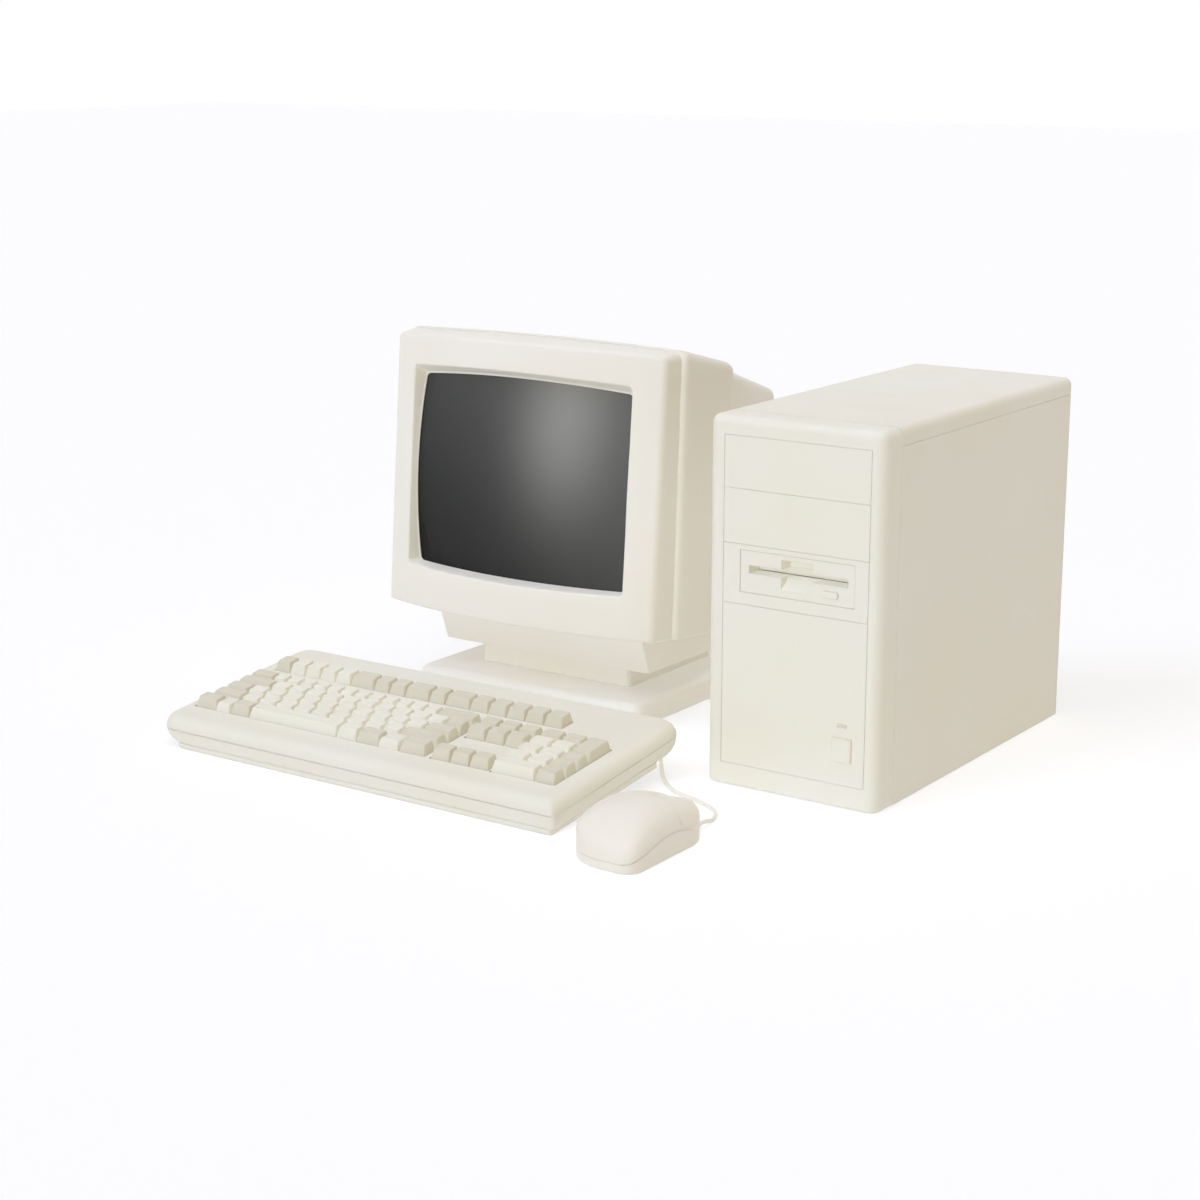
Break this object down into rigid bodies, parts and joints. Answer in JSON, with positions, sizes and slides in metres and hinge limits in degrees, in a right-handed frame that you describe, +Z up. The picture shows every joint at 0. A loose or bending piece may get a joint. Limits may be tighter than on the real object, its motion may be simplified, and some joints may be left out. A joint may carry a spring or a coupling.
{
  "type": "vintage home computer set",
  "caption": "Beige home computer set: tube monitor on a swivel and tilt stand, mini-tower case, full keyboard on folding legs, and a ball mouse with a short cord.",
  "frame": {"origin": "middle of the set's footprint, on the floor; the mouse cord is not counted", "axes": "+X toward the tower side, +Y toward the back of the units, +Z up"},
  "size_m": [0.6732, 0.6484, 0.3765],
  "materials": {
    "case_plastic": "fine satin texture",
    "cover_paint": "satin",
    "monitor_plastic": "fine satin texture",
    "keycap_plastic": "satin",
    "keyboard_plastic": "fine satin texture",
    "mouse_plastic": "satin",
    "lens_plastic": "clear satin",
    "steel": "zinc plated",
    "dark_plastic": "satin",
    "circuit": "lacquered",
    "rubber": "matt",
    "tube_glass": "polished dark",
    "copper": "lacquered winding",
    "cord_sheath": "satin"
  },
  "bodies": {
    "standing_units": {"tower_front_bezel": "case_plastic", "blank_bay_covers": "case_plastic", "floppy_bay_panel": "case_plastic", "floppy_front_plate": "case_plastic", "floppy_drive": "steel", "lower_front_panel": "case_plastic", "power_switch": "dark_plastic", "power_lamp_lens": "lens_plastic", "tower_top_cover": "cover_paint", "tower_side_panel_right": "cover_paint", "tower_side_panel_left": "cover_paint", "tower_chassis": "steel", "power_supply_case": "steel", "power_supply_inlet": "dark_plastic", "tower_main_board": "circuit", "plug_in_card": "circuit", "slot_covers": "steel", "hard_drive": "steel", "case_screws": "steel", "tower_feet": "rubber", "monitor_base_plate": "monitor_plastic", "keyboard_top_case": "keyboard_plastic", "keyboard_bottom_case": "keyboard_plastic", "keyboard_switch_plate": "dark_plastic", "keyboard_circuit_board": "circuit", "mouse_top_shell": "mouse_plastic", "mouse_base_shell": "mouse_plastic", "mouse_circuit_board": "circuit", "mouse_strain_relief": "cord_sheath", "mouse_cord": "cord_sheath"},
    "swivel_neck": {"monitor_neck": "monitor_plastic"},
    "monitor_head": {"monitor_skirt": "monitor_plastic", "monitor_bezel": "monitor_plastic", "monitor_housing": "monitor_plastic", "monitor_rear_cover": "monitor_plastic", "picture_tube": "tube_glass", "deflection_yoke": "copper", "monitor_main_board": "circuit", "monitor_inlet": "dark_plastic"},
    "power_push": {"power_button": "case_plastic"},
    "eject_push": {"eject_button": "case_plastic"},
    "slot_flap": {"floppy_slot_flap": "case_plastic"},
    "fan_rotor": {"power_supply_fan": "dark_plastic"},
    "left_leg": {"keyboard_leg_left": "keyboard_plastic"},
    "right_leg": {"keyboard_leg_right": "keyboard_plastic"},
    "left_click": {"mouse_button_left": "mouse_plastic"},
    "right_click": {"mouse_button_right": "mouse_plastic"},
    "ball": {"mouse_ball": "rubber"},
    "ball_ring": {"mouse_ball_ring": "mouse_plastic"},
    "side_roller": {"mouse_roller_side": "dark_plastic"},
    "front_roller": {"mouse_roller_front": "dark_plastic"},
    "keys_function": {"keys_function": "keycap_plastic"},
    "keys_number_row": {"keys_number_row": "keycap_plastic"},
    "keys_upper_row": {"keys_upper_row": "keycap_plastic"},
    "keys_home_row": {"keys_home_row": "keycap_plastic"},
    "keys_lower_row": {"keys_lower_row": "keycap_plastic"},
    "keys_bottom_row": {"keys_bottom_row": "keycap_plastic"},
    "keys_space_bar": {"keys_space_bar": "keycap_plastic"},
    "keys_cursor": {"keys_cursor": "keycap_plastic"},
    "keys_numeric": {"keys_numeric": "keycap_plastic"}
  },
  "joints": [
    {"name": "monitor_swivel", "type": "hinge", "parent": "standing_units", "child": "swivel_neck", "pos_m": [-0.1176, 0.15926, 0.0243], "axis": [0, 0, 1], "range_deg": [-45, 45]},
    {"name": "monitor_tilt", "type": "hinge", "parent": "swivel_neck", "child": "monitor_head", "pos_m": [-0.1176, 0.14876, 0.06], "axis": [1, 0, 0], "range_deg": [-9, 4]},
    {"name": "power_button_press", "type": "slide", "parent": "standing_units", "child": "power_push", "axis": [0, 1, 0], "range_m": [0, 0.003], "stiffness_N_per_m": 900},
    {"name": "eject_button_press", "type": "slide", "parent": "standing_units", "child": "eject_push", "axis": [0, 1, 0], "range_m": [0, 0.0025], "stiffness_N_per_m": 500},
    {"name": "slot_flap_swing", "type": "hinge", "parent": "standing_units", "child": "slot_flap", "pos_m": [0.2534, -0.05554, 0.2103], "axis": [1, 0, 0], "range_deg": [0, 80], "stiffness_Nm_per_rad": 0.002},
    {"name": "supply_fan_spin", "type": "hinge", "parent": "standing_units", "child": "fan_rotor", "pos_m": [0.22625, 0.29026, 0.295], "axis": [0, 1, 0], "continuous": true},
    {"name": "left_leg_fold", "type": "hinge", "parent": "standing_units", "child": "left_leg", "pos_m": [-0.2666, -0.09775, 0.02196], "axis": [1, 0, 0], "range_deg": [-90, 0]},
    {"name": "right_leg_fold", "type": "hinge", "parent": "standing_units", "child": "right_leg", "pos_m": [0.0654, -0.09775, 0.02196], "axis": [1, 0, 0], "range_deg": [-90, 0]},
    {"name": "left_button_click", "type": "hinge", "parent": "standing_units", "child": "left_click", "pos_m": [0.2086, -0.24934, 0.033], "axis": [1, 0, 0], "range_deg": [-1.3, 0], "stiffness_Nm_per_rad": 1.5},
    {"name": "right_button_click", "type": "hinge", "parent": "standing_units", "child": "right_click", "pos_m": [0.2086, -0.24934, 0.033], "axis": [1, 0, 0], "range_deg": [-1.3, 0], "stiffness_Nm_per_rad": 1.5},
    {"name": "ball_roll", "type": "hinge", "parent": "standing_units", "child": "ball", "pos_m": [0.2086, -0.27374, 0.011], "axis": [1, 0, 0], "continuous": true},
    {"name": "ball_ring_turn", "type": "hinge", "parent": "standing_units", "child": "ball_ring", "pos_m": [0.2086, -0.27374, 0.002], "axis": [0, 0, 1], "range_deg": [0, 30]},
    {"name": "side_roller_spin", "type": "hinge", "parent": "standing_units", "child": "side_roller", "pos_m": [0.19475, -0.27374, 0.013], "axis": [0, 1, 0], "continuous": true},
    {"name": "front_roller_spin", "type": "hinge", "parent": "standing_units", "child": "front_roller", "pos_m": [0.2086, -0.25989, 0.013], "axis": [1, 0, 0], "continuous": true},
    {"name": "keys_function_press", "type": "slide", "parent": "standing_units", "child": "keys_function", "axis": [0, 0.1075, -0.9942], "range_m": [0, 0.0035], "stiffness_N_per_m": 250},
    {"name": "keys_number_row_press", "type": "slide", "parent": "standing_units", "child": "keys_number_row", "axis": [0, 0.1075, -0.9942], "range_m": [0, 0.0035], "stiffness_N_per_m": 250},
    {"name": "keys_upper_row_press", "type": "slide", "parent": "standing_units", "child": "keys_upper_row", "axis": [0, 0.1075, -0.9942], "range_m": [0, 0.0035], "stiffness_N_per_m": 250},
    {"name": "keys_home_row_press", "type": "slide", "parent": "standing_units", "child": "keys_home_row", "axis": [0, 0.1075, -0.9942], "range_m": [0, 0.0035], "stiffness_N_per_m": 250},
    {"name": "keys_lower_row_press", "type": "slide", "parent": "standing_units", "child": "keys_lower_row", "axis": [0, 0.1075, -0.9942], "range_m": [0, 0.0035], "stiffness_N_per_m": 250},
    {"name": "keys_bottom_row_press", "type": "slide", "parent": "standing_units", "child": "keys_bottom_row", "axis": [0, 0.1075, -0.9942], "range_m": [0, 0.0035], "stiffness_N_per_m": 250},
    {"name": "keys_space_bar_press", "type": "slide", "parent": "standing_units", "child": "keys_space_bar", "axis": [0, 0.1075, -0.9942], "range_m": [0, 0.0035], "stiffness_N_per_m": 250},
    {"name": "keys_cursor_press", "type": "slide", "parent": "standing_units", "child": "keys_cursor", "axis": [0, 0.1075, -0.9942], "range_m": [0, 0.0035], "stiffness_N_per_m": 250},
    {"name": "keys_numeric_press", "type": "slide", "parent": "standing_units", "child": "keys_numeric", "axis": [0, 0.1075, -0.9942], "range_m": [0, 0.0035], "stiffness_N_per_m": 250}
  ]
}
